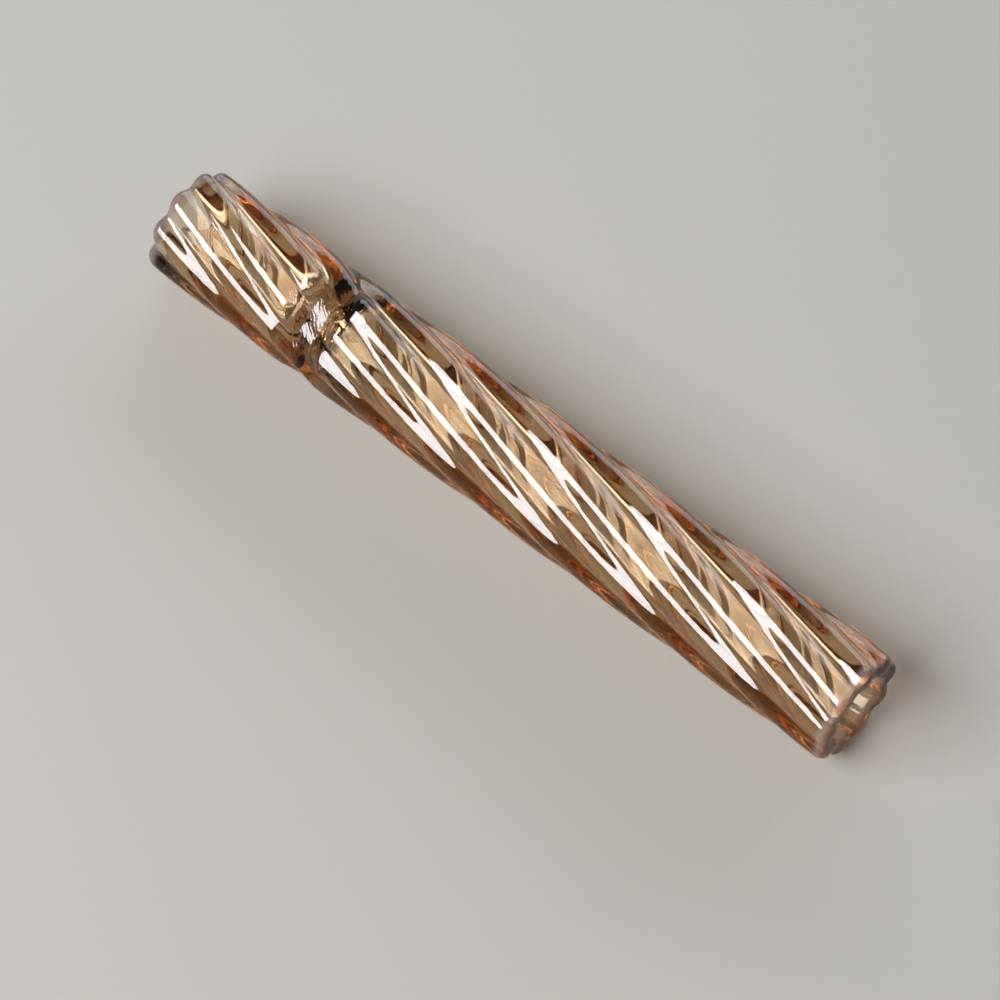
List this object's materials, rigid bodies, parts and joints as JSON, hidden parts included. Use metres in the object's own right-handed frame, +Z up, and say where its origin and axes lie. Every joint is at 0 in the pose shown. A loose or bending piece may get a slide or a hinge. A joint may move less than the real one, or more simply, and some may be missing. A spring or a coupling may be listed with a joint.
{
  "type": "twisted glass tube pipe",
  "caption": "Short straight hand-worked glass tube, open at both ends, with twisted ridges round it and a pinched waist near one end.",
  "frame": {"origin": "centre of the tube's length and width, on the surface that it lies on", "axes": "+X along the tube towards the stem's open end, with the bowl at -X; +Z up from the surface"},
  "size_m": [0.1, 0.014, 0.0141],
  "materials": {
    "tube_glass": "clear amber-tinted glass, fire polished",
    "rod_glass": "clear amber-tinted glass rod, melted smooth",
    "waist_glass": "clear amber-tinted glass, fine pinch wrinkles"
  },
  "bodies": {
    "root": {"stem_tube": "tube_glass", "bowl_tube": "tube_glass", "waist": "waist_glass", "stem_rod_1": "rod_glass", "stem_rod_2": "rod_glass", "stem_rod_3": "rod_glass", "stem_rod_4": "rod_glass", "stem_rod_5": "rod_glass", "stem_rod_6": "rod_glass", "stem_rod_7": "rod_glass", "stem_rod_8": "rod_glass", "stem_rod_9": "rod_glass", "bowl_rod_1": "rod_glass", "bowl_rod_2": "rod_glass", "bowl_rod_3": "rod_glass", "bowl_rod_4": "rod_glass", "bowl_rod_5": "rod_glass", "bowl_rod_6": "rod_glass", "bowl_rod_7": "rod_glass", "bowl_rod_8": "rod_glass", "bowl_rod_9": "rod_glass"}
  },
  "joints": []
}
